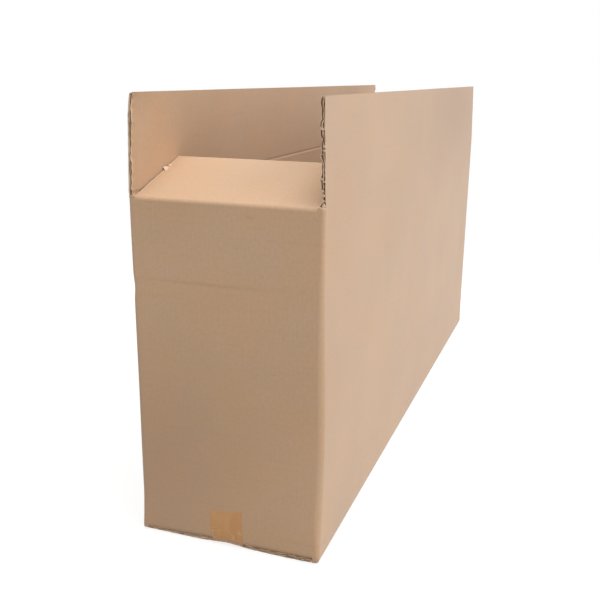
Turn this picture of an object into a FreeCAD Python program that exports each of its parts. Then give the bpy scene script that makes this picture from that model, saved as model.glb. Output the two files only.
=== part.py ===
"""Tall, narrow shipping carton of double-wall corrugated board, set up and standing open.

One sheet of board makes the four walls, the inside glue tab, the four bottom flaps and the
four top flaps. The bottom flaps are folded shut under one strip of tape. The top flaps hinge
at their creases, so each one is a piece of its own here.

Width runs along X, length along Y and height along Z. The origin is the middle of the base.
"""
import FreeCAD, Part
import math
import os
import Sketcher

# Driving sizes in millimetres and degrees
SIZES = {
    "box_width": (270, "outside, across the short end walls"),
    "box_length": (1220, "outside, along the long side walls"),
    "side_crease_height": (494, "fold line of the side flaps above the floor"),
    "board": (7, "thickness of the double-wall board"),
    "liner": (0.4, "thickness of one flat sheet of paper in the board"),
    "outer_flute": (2.5, "height of the fine flutes, next to the outside"),
    "fold_radius": (8, "outside radius of every folded corner"),
    "flap_gap": (1, "air between closed end flaps and closed side flaps"),
    "floor_gap": (0.5, "air between the end flaps and side flaps of the floor"),
    "seam_gap": (8, "between the free edges of two closed side flaps"),
    "slot_inset": (3, "from the end of the carton to the cut ends of the side flaps"),
    "side_clearance": (0.3, "between an upright end flap and the leaning side flaps"),
    "hinge_gap": (0.5, "across a crease, between the wall and the flap's root"),
    "crushed_root": (12, "board flattened by the crease, where no flute is open"),
    "open_depth": (5, "how far the flutes show in at a cut side edge"),
    "side_flap_lean": (1.5, "inward lean of the side flaps from upright"),
    "end_flap_rise": (19, "end flaps above level, folded part-way in"),
    "tab_width": (40, "glue tab, from the end wall's inner face"),
    "tab_taper": (12, "slope cut off both ends of the glue tab"),
    "tab_clearance": (1.5, "between the glue tab's ends and the closed end flaps"),
    "tape_width": (48, "packing tape"),
    "tape_thickness": (0.12, "packing tape"),
    "tape_lap": (54, "how high the tape runs up each end wall"),
    "tape_play": (0.2, "each side of the tape in its pressed-in bed"),
}

# Lengths worked out from the driving sizes
SIDE = "sizes.box_width / 2"
END = "sizes.box_length / 2"
BOARD = "sizes.board"
RADIUS = "sizes.fold_radius"
SEAM = "sizes.seam_gap / 2"
SIDE_AXIS = "(sizes.box_width - sizes.board) / 2"
END_AXIS = "(sizes.box_length - sizes.board) / 2"
END_CREASE_HEIGHT = "(sizes.side_crease_height - sizes.board - sizes.flap_gap)"
FLAP_DEPTH = f"({SIDE_AXIS} - {SEAM})"
FLAP_ROOT = "(sizes.board / 2 + sizes.hinge_gap)"
INNER_FLUTE = "(sizes.board - 3 * sizes.liner - sizes.outer_flute)"
FLOOR_END_FLAP = "(sizes.board + sizes.floor_gap)"
SIDE_FLAP_END = f"({END} - sizes.slot_inset)"
END_FLAP_EDGE = (
    f"({SIDE} - {BOARD} - {FLAP_DEPTH} * sin(sizes.side_flap_lean) - sizes.side_clearance)"
)

doc = FreeCAD.newDocument("carton")
sheet = doc.addObject("Spreadsheet::Sheet", "sizes")
for row, (alias, (number, meaning)) in enumerate(SIZES.items(), start=1):
    sheet.set(f"A{row}", alias)
    sheet.set(f"B{row}", str(number))
    sheet.set(f"C{row}", meaning)
    sheet.setAlias(f"B{row}", alias)
doc.recompute()


def new_body(label):
    body = doc.addObject("PartDesign::Body", label)
    body.Label = label
    return body


def sketch_on(body, name, role, lift="0"):
    """A sketch on one of the body's own planes, lifted off it along the plane's normal."""
    plane = next(each for each in body.Origin.OriginFeatures if each.Role == role)
    sketch = body.newObject("Sketcher::SketchObject", name)
    sketch.AttachmentSupport = [(plane, "")]
    sketch.MapMode = "FlatFace"
    sketch.setExpression("AttachmentOffset.Base.z", lift)
    return sketch


def corner_ends(corners, index):
    """Where the outline reaches and leaves a corner, as expressions, and its rounding."""
    across, up = corners[index][:2]
    if len(corners[index]) == 2:
        return [(across, up), (across, up)], None
    rounding = corners[index][2]
    here = [sheet.evalExpression(each) for each in (across, up)]
    ends = []
    for neighbour in (corners[index - 1], corners[(index + 1) % len(corners)]):
        there = [sheet.evalExpression(each) for each in neighbour[:2]]
        if abs(there[0] - here[0]) > abs(there[1] - here[1]):
            sign = "+" if there[0] > here[0] else "-"
            ends.append((f"{across} {sign} {rounding}", up))
        else:
            sign = "+" if there[1] > here[1] else "-"
            ends.append((across, f"{up} {sign} {rounding}"))
    return ends, rounding


def point_at(expressions):
    return FreeCAD.Vector(*[sheet.evalExpression(each) for each in expressions], 0)


def pin(sketch, edge, end, expressions):
    """Holds one end of a sketch edge at its distances from the sketch's origin."""
    for kind, expression in zip(("DistanceX", "DistanceY"), expressions):
        value = sheet.evalExpression(expression)
        index = sketch.addConstraint(Sketcher.Constraint(kind, -1, 1, edge, end, value))
        sketch.setExpression(f"Constraints[{index}]", expression)


def draw_outline(sketch, corners):
    """A closed outline. A corner with a third value is rounded with a quarter circle."""
    turns = [corner_ends(corners, index) for index in range(len(corners))]
    joints = []
    for index, ((arrive, leave), rounding) in enumerate(turns):
        if rounding:
            start = point_at(arrive)
            finish = point_at(leave)
            centre = start + finish - point_at(corners[index][:2])
            radius = sheet.evalExpression(rounding)
            left_turn = ((start - centre).cross(finish - centre)).z > 0
            first, last = (1, 2) if left_turn else (2, 1)
            spoke = (start if left_turn else finish) - centre
            angle = math.atan2(spoke.y, spoke.x)
            circle = Part.Circle(centre, FreeCAD.Vector(0, 0, 1), radius)
            quarter = Part.ArcOfCircle(circle, angle, angle + math.pi / 2)
            edge = sketch.addGeometry(quarter, False)
            pin(sketch, edge, first, arrive)
            joints.append((edge, first, last))
            size = sketch.addConstraint(Sketcher.Constraint("Radius", edge, radius))
            sketch.setExpression(f"Constraints[{size}]", rounding)
        following = turns[(index + 1) % len(turns)][0][0]
        if (point_at(following) - point_at(leave)).Length > 1e-6:
            line = Part.LineSegment(point_at(leave), point_at(following))
            edge = sketch.addGeometry(line, False)
            pin(sketch, edge, 1, leave)
            joints.append((edge, 1, 2))
    for index, (edge, first, last) in enumerate(joints):
        next_edge, next_first, next_last = joints[(index + 1) % len(joints)]
        sketch.addConstraint(Sketcher.Constraint("Coincident", edge, last, next_edge, next_first))


def pad(body, name, sketch, length, both_ways=True):
    feature = body.newObject("PartDesign::Pad", name)
    feature.Profile = sketch
    feature.setExpression("Length", length)
    feature.SideType = "Symmetric" if both_ways else "One side"
    return feature


def flute_notches(outside, inwards, edge, bottom):
    """Corners across a cut edge, from its outer face: liner, fine flute, liner, coarse flute.

    outside and inwards give the outer face and the sign of the way in from it. edge and
    bottom are where the liners end and where the open flutes close.
    """
    corners = []
    reached = f"{outside} {inwards} sizes.liner"
    for flute in ("sizes.outer_flute", INNER_FLUTE):
        corners.append((reached, edge))
        corners.append((reached, bottom))
        reached = f"{reached} {inwards} {flute}"
        corners.append((reached, bottom))
        corners.append((reached, edge))
        reached = f"{reached} {inwards} sizes.liner"
    return corners


def swapped(corners):
    """The same corners for a cut edge that faces across instead of up."""
    return [(up, across) for across, up in corners]


def glued_corner():
    """Outline of the corner where a side wall's raw edge stands against the folded tab."""
    glued_face = f"-{SIDE} + {BOARD}"
    raw_edge = SIDE_FLAP_END
    notches = flute_notches(f"-{SIDE}", "+", raw_edge, f"{raw_edge} - sizes.open_depth")
    return [
        (glued_face, END, "sizes.slot_inset"),
        (glued_face, raw_edge),
    ] + notches[::-1] + [
        (f"-{SIDE}", raw_edge),
    ]


def make_walls(carton):
    """The ring of walls between the folds at its foot and the end walls' creases."""
    ring = sketch_on(carton, "wall_ring", "XY_Plane", f"{FLOOR_END_FLAP} + {RADIUS}")
    draw_outline(ring, [
        (f"-{SIDE}", f"-{END}", RADIUS),
        (SIDE, f"-{END}", RADIUS),
        (SIDE, END, RADIUS),
    ] + glued_corner())
    inner_side = f"({SIDE} - {BOARD})"
    inner_end = f"({END} - {BOARD})"
    inner_radius = f"({RADIUS} - {BOARD})"
    draw_outline(ring, [
        (f"-{inner_side}", f"-{inner_end}", inner_radius),
        (inner_side, f"-{inner_end}", inner_radius),
        (inner_side, inner_end, inner_radius),
        (f"-{inner_side}", inner_end, inner_radius),
    ])
    height = f"{END_CREASE_HEIGHT} - {FLOOR_END_FLAP} - {RADIUS}"
    pad(carton, "walls", ring, height, both_ways=False)


def make_corner_feet(carton):
    """The four corners run on below the ring, down to the slots between the floor flaps."""
    feet = sketch_on(carton, "corner_feet_outlines", "XY_Plane", FLOOR_END_FLAP)
    for side_sign, end_sign in (("-", "-"), ("", "-"), ("", "")):
        draw_outline(feet, [
            (f"{side_sign}{END_FLAP_EDGE}", f"{end_sign}{END}"),
            (f"{side_sign}{SIDE}", f"{end_sign}{END}", RADIUS),
            (f"{side_sign}{SIDE}", f"{end_sign}({END} - {RADIUS})"),
            (f"{side_sign}({SIDE} - {BOARD})", f"{end_sign}({END} - {RADIUS})"),
            (f"{side_sign}({SIDE} - {BOARD})", f"{end_sign}({END} - {BOARD})"),
            (f"{side_sign}{END_FLAP_EDGE}", f"{end_sign}({END} - {BOARD})"),
        ])
    draw_outline(feet, [
        (f"-{END_FLAP_EDGE}", END),
    ] + glued_corner() + [
        (f"-{SIDE}", f"{END} - 2 * {RADIUS}"),
        (f"-{SIDE} + {BOARD}", f"{END} - 2 * {RADIUS}"),
        (f"-{SIDE} + {BOARD}", f"{END} - {BOARD}"),
        (f"-{END_FLAP_EDGE}", f"{END} - {BOARD}"),
    ])
    pad(carton, "corner_feet", feet, RADIUS, both_ways=False)


def make_glue_tab(carton):
    """The tab that runs on from the far end wall and is glued inside the left side wall."""
    tab = sketch_on(carton, "tab_outline", "YZ_Plane", f"-{SIDE} + {BOARD}")
    fold = f"{END} - {BOARD}"
    tip = f"{fold} - sizes.tab_width"
    low = f"{FLOOR_END_FLAP} + {BOARD} + sizes.tab_clearance"
    high = f"{END_CREASE_HEIGHT} - {BOARD} / 2 - sizes.tab_clearance"
    draw_outline(tab, [
        (fold, low),
        (fold, high),
        (tip, f"{high} - sizes.tab_taper"),
        (tip, f"{low} + sizes.tab_taper"),
    ])
    pad(carton, "glue_tab", tab, BOARD, both_ways=False)


def panel_corners(sign, wall, free_edge, foot, crease):
    """A wall with a rounded crease on top and its floor flap folded in at the foot."""
    inner = f"{sign}({wall} - {BOARD})"
    outer = f"{sign}{wall}"
    return [
        (f"{sign}{free_edge}", foot),
        (outer, foot, RADIUS),
        (outer, f"{crease} + {BOARD} / 2", f"{BOARD} / 2"),
        (inner, f"{crease} + {BOARD} / 2", f"{BOARD} / 2"),
        (inner, f"{foot} + {BOARD}", f"({RADIUS} - {BOARD})"),
        (f"{sign}{free_edge}", f"{foot} + {BOARD}"),
    ]


def make_side_panels(carton):
    """Both side walls with their creases and the floor flaps that meet along the seam."""
    panels = sketch_on(carton, "side_panel_outlines", "XZ_Plane")
    edges = sketch_on(carton, "floor_flap_outlines", "XZ_Plane")
    for sign, inwards in (("-", "+"), ("", "-")):
        draw_outline(panels, panel_corners(sign, SIDE, SEAM, "0", "sizes.side_crease_height"))
        flap_fold = f"{sign}({SIDE} - {RADIUS})"
        flutes_close = f"{sign}({SIDE} - sizes.crushed_root)"
        draw_outline(edges, [
            (flap_fold, BOARD),
            (flap_fold, "0"),
            (f"{sign}{SEAM}", "0"),
        ] + swapped(flute_notches("0", "+", f"{sign}{SEAM}", flutes_close)) + [
            (f"{sign}{SEAM}", BOARD),
        ])
    pad(carton, "side_panels", panels, f"2 * ({END} - {RADIUS})")
    pad(carton, "floor_flap_edges", edges, f"2 * {SIDE_FLAP_END}")


def make_end_panels(carton):
    """Both end walls with their creases and the floor flaps that lie on the side ones."""
    panels = sketch_on(carton, "end_panel_outlines", "YZ_Plane")
    free_edge = f"({END_AXIS} - {FLAP_DEPTH})"
    for sign in ("-", ""):
        draw_outline(
            panels, panel_corners(sign, END, free_edge, FLOOR_END_FLAP, END_CREASE_HEIGHT)
        )
    pad(carton, "end_panels", panels, f"2 * {END_FLAP_EDGE}")


def make_tape_bed(carton):
    """The shallow bed that the tape is pressed into along the underside of the seam."""
    bed = sketch_on(carton, "tape_bed_outline", "XY_Plane")
    half = "(sizes.tape_width / 2 + sizes.tape_play)"
    draw_outline(bed, [
        (f"-{half}", f"-{END}"), (half, f"-{END}"), (half, END), (f"-{half}", END),
    ])
    before = carton.Tip.Shape.Volume
    pocket = carton.newObject("PartDesign::Pocket", "tape_bed")
    pocket.Profile = bed
    pocket.setExpression("Length", "sizes.tape_thickness")
    pocket.Reversed = True
    doc.recompute()
    if pocket.Shape.Volume >= before:
        raise SystemExit("the tape's bed cuts nothing")


def make_carton_body():
    """The folded sheet without its top flaps: walls, glue tab and closed floor."""
    carton = new_body("carton_body")
    make_walls(carton)
    make_corner_feet(carton)
    make_glue_tab(carton)
    make_side_panels(carton)
    make_end_panels(carton)
    doc.recompute()
    make_tape_bed(carton)


def make_tape():
    """One strip of packing tape under the seam, turned up on both end walls."""
    tape = new_body("bottom_tape")
    profile = sketch_on(tape, "tape_outline", "YZ_Plane")
    skin = "sizes.tape_thickness"
    leaves_wall = f"{FLOOR_END_FLAP} + 0.6 * {RADIUS}"
    outside = []
    inside = []
    for sign in ("-", ""):
        outside.append([
            (f"{sign}({END} + {skin})", "sizes.tape_lap"),
            (f"{sign}({END} + {skin})", leaves_wall),
            (f"{sign}({SIDE_FLAP_END} + {skin})", "0"),
        ])
        inside.append([
            (f"{sign}{SIDE_FLAP_END}", skin),
            (f"{sign}{END}", leaves_wall),
            (f"{sign}{END}", "sizes.tape_lap"),
        ])
    near, far = 0, 1
    draw_outline(
        profile,
        outside[near] + outside[far][::-1] + inside[far][::-1] + inside[near],
    )
    pad(tape, "tape_strip", profile, "sizes.tape_width")


def make_flap(label, role, outward, half_length):
    """An upright flap about its hinge line, with the flutes open at both cut side edges."""
    flap = new_body(label)
    outer = f"{outward}{BOARD} / 2"
    inner = f"{'-' if outward == '' else ''}{BOARD} / 2"
    inwards = "-" if outward == "" else "+"
    root = [(inner, FLAP_ROOT, f"{BOARD} / 2"), (outer, FLAP_ROOT, f"{BOARD} / 2")]
    top = [(outer, FLAP_DEPTH), (inner, FLAP_DEPTH)]
    cut_edges = sketch_on(flap, f"{label}_edges", role)
    notches = flute_notches(outer, inwards, FLAP_DEPTH, "sizes.crushed_root")
    draw_outline(cut_edges, root + top[:1] + notches + top[1:])
    pad(flap, f"{label}_liners", cut_edges, f"2 * {half_length}")
    board = sketch_on(flap, f"{label}_board", role)
    draw_outline(board, root + top)
    pad(flap, f"{label}_core", board, f"2 * ({half_length} - sizes.open_depth)")
    return flap


def make_side_flap(label, sign, outward):
    flap = make_flap(label, "XZ_Plane", outward, SIDE_FLAP_END)
    upright = FreeCAD.Vector(0, 1, 0)
    flap.Placement = FreeCAD.Placement(FreeCAD.Vector(), FreeCAD.Rotation(upright, 1))
    flap.setExpression("Placement.Base.x", f"{sign}{SIDE_AXIS}")
    flap.setExpression("Placement.Base.z", "sizes.side_crease_height")
    lean = "sizes.side_flap_lean" if sign == "-" else "-sizes.side_flap_lean"
    flap.setExpression("Placement.Rotation.Angle", lean)


def make_end_flap(label, sign, outward):
    flap = make_flap(label, "YZ_Plane", outward, END_FLAP_EDGE)
    across = FreeCAD.Vector(1, 0, 0)
    flap.Placement = FreeCAD.Placement(FreeCAD.Vector(), FreeCAD.Rotation(across, 1))
    flap.setExpression("Placement.Base.y", f"{sign}{END_AXIS}")
    flap.setExpression("Placement.Base.z", END_CREASE_HEIGHT)
    fold = "sizes.end_flap_rise - 90" if sign == "-" else "90 - sizes.end_flap_rise"
    flap.setExpression("Placement.Rotation.Angle", fold)


make_carton_body()
make_tape()
make_side_flap("top_flap_left", "-", "-")
make_side_flap("top_flap_right", "", "")
make_end_flap("top_flap_near", "-", "-")
make_end_flap("top_flap_far", "", "")
doc.recompute()

for item in doc.Objects:
    if "Invalid" in item.State or "Error" in item.State:
        raise SystemExit(f"{item.Name} failed to build")
os.makedirs("parts", exist_ok=True)
for item in doc.Objects:
    if item.TypeId != "PartDesign::Body":
        continue
    if item.Shape.isNull() or not item.Shape.isValid() or len(item.Shape.Solids) != 1:
        raise SystemExit(f"{item.Label} is not one sound solid")
    item.Shape.exportStep(f"parts/{item.Label}.step")
    box = item.Shape.BoundBox
    print(item.Label, round(item.Shape.Volume), len(item.Shape.Faces),
          [round(v, 2) for v in (box.XMin, box.XMax, box.YMin, box.YMax, box.ZMin, box.ZMax)])
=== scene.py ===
"""A tall, long and narrow carton of double-wall corrugated board, set up and standing open.

Lengths are in metres. X runs across the carton, Y along it and Z up, with the origin at the
middle of its footprint.
"""

import math

import bpy
import numpy as np
from mathutils import Matrix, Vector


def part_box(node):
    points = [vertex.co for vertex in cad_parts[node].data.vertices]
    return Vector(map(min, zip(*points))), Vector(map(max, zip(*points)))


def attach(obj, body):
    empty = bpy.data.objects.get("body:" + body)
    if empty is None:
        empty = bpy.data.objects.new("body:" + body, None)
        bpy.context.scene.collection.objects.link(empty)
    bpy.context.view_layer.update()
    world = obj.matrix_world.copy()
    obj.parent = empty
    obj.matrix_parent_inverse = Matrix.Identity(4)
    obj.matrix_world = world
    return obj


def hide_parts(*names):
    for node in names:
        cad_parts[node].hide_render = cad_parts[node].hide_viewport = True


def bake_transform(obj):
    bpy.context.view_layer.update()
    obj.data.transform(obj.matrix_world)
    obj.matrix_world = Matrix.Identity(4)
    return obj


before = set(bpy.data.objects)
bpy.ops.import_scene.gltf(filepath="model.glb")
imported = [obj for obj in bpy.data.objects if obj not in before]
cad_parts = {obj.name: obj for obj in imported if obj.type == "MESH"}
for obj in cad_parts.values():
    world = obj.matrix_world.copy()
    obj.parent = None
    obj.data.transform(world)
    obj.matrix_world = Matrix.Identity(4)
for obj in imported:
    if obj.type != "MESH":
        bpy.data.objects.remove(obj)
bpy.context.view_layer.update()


# WALLS
# The four walls are one band of double-wall kraft board, bent round at three scored corners.
# At the fourth, a tab from the end wall is glued inside the side wall, whose raw cut edge shows.

carton_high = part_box("carton_body")[1]
SIDE = carton_high.x
END = carton_high.y

# The board, and the depths in it between which each of its three liners lies
BOARD = 0.007
LINER = 0.0004
FINE_FLUTE = 0.0025
COARSE_FLUTE = BOARD - 3 * LINER - FINE_FLUTE
FINE_PITCH = 0.0064
COARSE_PITCH = 0.0079
PLIES = (
    (0, LINER),
    (LINER + FINE_FLUTE, 2 * LINER + FINE_FLUTE),
    (BOARD - LINER, BOARD),
)

# Heights: the fold lines of the top flaps, and the band of wall between the flaps' roots
SIDE_CREASE = carton_high.z - BOARD / 2
END_CREASE = SIDE_CREASE - BOARD - 0.001
FOOT = BOARD + 0.0005
FOOT_FOLD = FOOT + 0.008
WALL_TOP = END_CREASE - 0.012
POST_TOP = END_CREASE + 0.0042
WALL_ROWS = 66

# Places along the carton: the flaps' roots, the glue tab and the raw edge over it
END_ROOT_EDGE = 0.126
SIDE_ROOT_EDGE = END - 0.004
TAB_TIP = END - BOARD - 0.040
TAB_FACE = -SIDE + BOARD
RAW_EDGE = END - 0.003
OPEN_FLUTES = 0.005

# How far a bend's close columns reach from its corner, how many, and the columns' room elsewhere
CORNER_REACH = 0.014
BEND_COLUMNS = 26
PANEL_SPACING = 0.016


def wander(seed, place, lengths, size):
    """A slow random drift along a line, within about plus or minus size."""
    dice = np.random.default_rng(seed)
    total = np.zeros_like(np.asarray(place, float))
    for length in lengths:
        total += np.sin(2 * np.pi * (place / length + dice.random())) * dice.uniform(0.6, 1.0)
    return size * total / len(lengths)


def bump(place, centre, reach):
    """1 at the centre and smoothly down to nothing a few reaches away."""
    return np.exp(-(((place - centre) / reach) ** 2))


def settle(points):
    """How the standing carton has given.

    Its long walls bulge, the right one most by the near corner, where the left one has sunk in.
    The near left corner is knocked at one height and the near right one tucked in at its foot.
    """
    x, y, z = points.T
    height = np.clip(z / SIDE_CREASE, 0, 1)
    bow = 0.0022 * np.sin(np.pi * (y / (2 * END) + 0.5)) * np.sin(np.pi * height)
    ripple = wander(11, y, (0.9, 0.43, 0.27), 0.0012) * np.sin(np.pi * height)
    side_share = np.clip(x / SIDE, -1, 1)
    x = x + side_share * (bow + ripple)
    swelling = 0.0036 * bump(z, 0.185, 0.12) * np.exp(-(y + END) / 0.28)
    x = x + swelling * np.clip((x + SIDE) / (2 * SIDE), 0, 1)
    x = x - 0.0014 * np.clip(-side_share, 0, 1) ** 2 * np.exp(-(y + END) / 0.30)
    knock = 0.0016 * bump(z, 0.366, 0.012) * bump(x, -SIDE, 0.012) * bump(y, -END, 0.02)
    x = x + knock
    by_right_corner = bump(y, -END, 0.012) * bump(x, SIDE, 0.012)
    tucked = 0.0030 * np.clip(1 - z / 0.006, 0, 1) ** 2 * by_right_corner
    x, y = x - tucked, y + tucked
    end_share = np.clip(y / END, -1, 1)
    end_height = np.clip(z / END_CREASE, 0, 1)
    belly = 0.0012 * np.cos(np.pi * x / (2 * SIDE)) * np.sin(np.pi * end_height)
    y = y + np.sign(end_share) * np.abs(end_share) ** 8 * belly
    return np.column_stack((x, y, z))


# The band's outer face as a line of square corners, from the tab's tip round to the raw edge
BAND = np.array([
    (TAB_FACE, TAB_TIP),
    (TAB_FACE, END),
    (SIDE, END),
    (SIDE, -END),
    (-SIDE, -END),
    (-SIDE, RAW_EDGE),
])
BAND_STEPS = np.diff(BAND, axis=0)
BAND_LENGTHS = np.linalg.norm(BAND_STEPS, axis=1)
BAND_START = np.concatenate(([0], np.cumsum(BAND_LENGTHS)))
BAND_ALONG = BAND_STEPS / BAND_LENGTHS[:, None]
BAND_OUTWARD = np.column_stack((-BAND_ALONG[:, 1], BAND_ALONG[:, 0]))

# The middle of each wall along the band, and which way the wall faces and how far out it is
PANEL_MIDDLE = {
    "far": BAND_START[1] - TAB_FACE,
    "right": BAND_START[2] + END,
    "near": BAND_START[3] + SIDE,
    "left": BAND_START[4] + END,
}
PANEL_FACES = {
    "far": ((0, 1), END),
    "right": ((1, 0), SIDE),
    "near": ((0, -1), END),
    "left": ((-1, 0), SIDE),
}


def corner_radius(corner, height):
    """Crisp under the top slots and softer further down. The tab's own fold is tight."""
    if corner == 1:
        return np.full_like(height, 0.003)
    softness = 1 / (1 + np.exp((height - 0.36) / 0.045))
    softness = softness * np.clip((height - 0.010) / 0.045, 0, 1) ** 0.7
    return 0.0042 + (0.0050 + wander(corner, height, (0.3, 0.17), 0.0008)) * softness


def band_place(across, height, depth):
    """Where a point of the band stands, from its places along, up and into the board."""
    points = np.zeros((len(across), 2))
    for panel in range(len(BAND_ALONG)):
        on_panel = across >= BAND_START[panel] - 1e-9
        along = (across - BAND_START[panel])[:, None]
        flat = BAND[panel] + BAND_ALONG[panel] * along - BAND_OUTWARD[panel] * depth[:, None]
        points = np.where(on_panel[:, None], flat, points)
    for corner in range(1, len(BAND) - 1):
        radius = corner_radius(corner, height)
        turned = (across - BAND_START[corner] + radius) / (2 * radius)
        in_bend = (turned > 0) & (turned < 1)
        angle = np.clip(turned, 0, 1) * math.pi / 2
        before, after = BAND_OUTWARD[corner - 1], BAND_OUTWARD[corner]
        centre = BAND[corner] - np.outer(radius, before + after)
        spoke = np.outer(np.cos(angle), before) + np.outer(np.sin(angle), after)
        reach = np.maximum(radius - depth, 0.0006)
        points = np.where(in_bend[:, None], centre + spoke * reach[:, None], points)
    return settle(np.column_stack((points, height)))


def slab(place, across, along, outer, inner):
    """A closed sheet between two depths of the board, as points, faces and sheet places."""
    columns, rows = np.meshgrid(across, along, indexing="ij")
    count = columns.size
    grid = np.arange(count).reshape(columns.shape)
    flat = [np.column_stack((columns.ravel(), rows.ravel(), np.full(count, depth)))
            for depth in (outer, inner)]
    sheet = np.concatenate(flat)
    points = place(*sheet.T)
    a, b = grid[:-1, :-1].ravel(), grid[1:, :-1].ravel()
    c, d = grid[1:, 1:].ravel(), grid[:-1, 1:].ravel()
    faces = [np.column_stack((d, c, b, a)), np.column_stack((a, b, c, d)) + count]
    rim = np.concatenate((grid[:, 0], grid[-1, 1:], grid[-2::-1, -1], grid[0, -2:0:-1]))
    following = np.roll(rim, -1)
    faces.append(np.column_stack((rim, following, following + count, rim + count)))
    return points, np.concatenate(faces), sheet


def joined(parts):
    """Several slabs as one list of points, one of faces and one of sheet places."""
    points, faces, sheet, start = [], [], [], 0
    for part_points, part_faces, part_sheet in parts:
        points.append(part_points)
        faces += (np.asarray(part_faces) + start).tolist()
        sheet.append(part_sheet)
        start += len(part_points)
    return np.concatenate(points), faces, np.concatenate(sheet)


def piece_from(name, points, faces, sheet, torn, material):
    """One mesh object with smooth faces and crisp cut edges.

    Each point keeps its place on the flat sheet, and torn: 1 at a ragged cut end, where the
    fibres show pale, 0 on the liners and -1 on the fluted sheets between them.
    """
    mesh = bpy.data.meshes.new(name)
    mesh.from_pydata(points.tolist(), [], faces)
    kept = mesh.attributes.new("sheet_place", "FLOAT_VECTOR", "POINT")
    kept.data.foreach_set("vector", sheet.astype(np.float32).ravel())
    kept = mesh.attributes.new("torn", "FLOAT", "POINT")
    kept.data.foreach_set("value", torn.astype(np.float32))
    mesh.polygons.foreach_set("use_smooth", np.ones(len(mesh.polygons), bool))
    mesh.set_sharp_from_angle(angle=math.radians(38))
    mesh.materials.append(material)
    mesh.update()
    thing = bpy.data.objects.new(name, mesh)
    bpy.context.scene.collection.objects.link(thing)
    return thing


def band_columns(low, high):
    """Places along the band, close together round its bends."""
    marks = [low, high]
    for corner in BAND_START[1:-1]:
        start = corner - CORNER_REACH
        steps = range(BEND_COLUMNS + 1)
        marks += [start + 2 * CORNER_REACH * step / BEND_COLUMNS for step in steps]
    marks = sorted(mark for mark in marks if low <= mark <= high)
    columns = [marks[0]]
    for mark in marks[1:]:
        steps = max(1, math.ceil((mark - columns[-1]) / PANEL_SPACING))
        columns += list(np.linspace(columns[-1], mark, steps + 1)[1:])
    return np.array(columns)


class Wire:
    """One output of a node. Arithmetic on wires adds the Math nodes that work it out."""

    def __init__(self, bench, socket):
        self.bench = bench
        self.socket = socket

    def maths(self, operation, *values):
        return self.bench.node("ShaderNodeMath", {"operation": operation}, dict(enumerate(values)))

    def of(self, operation):
        """Maths on this wire's value alone, such as its sine."""
        return self.maths(operation, self)

    def larger(self, other):
        return self.maths("MAXIMUM", self, other)

    def __add__(self, other):
        return self.maths("ADD", self, other)

    __radd__ = __add__

    def __sub__(self, other):
        return self.maths("SUBTRACT", self, other)

    def __rsub__(self, other):
        return self.maths("SUBTRACT", other, self)

    def __mul__(self, other):
        return self.maths("MULTIPLY", self, other)

    __rmul__ = __mul__

    def __truediv__(self, other):
        return self.maths("DIVIDE", self, other)

    def __gt__(self, other):
        return self.maths("GREATER_THAN", self, other)

    def __lt__(self, other):
        return self.maths("LESS_THAN", self, other)


class Bench:
    """Adds nodes to a tree, each with its settings first and then its socket values or links."""

    def __init__(self, tree):
        self.tree = tree

    def node(self, kind, settings, sockets, output=0):
        made = self.tree.nodes.new(kind)
        for name, value in settings.items():
            setattr(made, name, value)
        for name, value in sockets.items():
            for each in value if isinstance(value, list) else [value]:
                if isinstance(each, Wire):
                    self.tree.links.new(each.socket, made.inputs[name])
                else:
                    made.inputs[name].default_value = each
        return Wire(self, made.outputs[output]) if made.outputs else made

    def mix(self, share, first, second):
        """A colour between two others."""
        return self.node(
            "ShaderNodeMix", {"data_type": "RGBA"}, {0: share, 6: first, 7: second}, output=2
        )

    def spread(self, value, low, high):
        """0 below low, 1 above high, and smooth between them."""
        return self.node(
            "ShaderNodeMapRange",
            {"interpolation_type": "SMOOTHSTEP"},
            {"Value": value, "From Min": low, "From Max": high},
        )

    def noise(self, place, stretch, scale, detail=3.0, roughness=0.5):
        """Noise on a place that is first stretched along each of its three directions."""
        stretched = self.node(
            "ShaderNodeVectorMath", {"operation": "MULTIPLY"}, {0: place, 1: stretch}
        )
        return self.node(
            "ShaderNodeTexNoise",
            {},
            {"Vector": stretched, "Scale": scale, "Detail": detail, "Roughness": roughness},
        )


def new_material(name):
    material = bpy.data.materials.new(name)
    material.use_nodes = True
    material.node_tree.nodes.clear()
    return material, Bench(material.node_tree)


KRAFT_WARM = (0.592, 0.376, 0.223, 1)
KRAFT_COOL = (0.574, 0.378, 0.234, 1)
KRAFT_DARK = (0.355, 0.210, 0.118, 1)
KRAFT_PALE = (0.740, 0.540, 0.370, 1)
# The fluted medium's darker brown, with painted shade for the open slots it lines
FLUTE_BROWN_AND_SHADE = (0.470, 0.265, 0.130, 1)
TORN_PALE = (0.720, 0.530, 0.365, 1)

# Patches of painted shade, where the far top of the right flap and the lower left and middle of the
# near wall get less light, and two short darker lines, each with its place along the band, its
# height, how far it reaches along and up, and its strength
SHADE_PATCHES_AND_DARK_LINES = (
    (PANEL_MIDDLE["right"] - 0.37, 0.580, 0.50, 0.125, 0.52),
    (PANEL_MIDDLE["near"] + 0.13, 0.100, 0.105, 0.150, 0.40),
    (PANEL_MIDDLE["near"] - 0.01, 0.150, 0.100, 0.110, 0.20),
    (PANEL_MIDDLE["near"] + 0.024, 0.380, 0.085, 0.0024, 0.24),
    (PANEL_MIDDLE["near"] - 0.036, 0.472, 0.007, 0.0030, 0.20),
)


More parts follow.
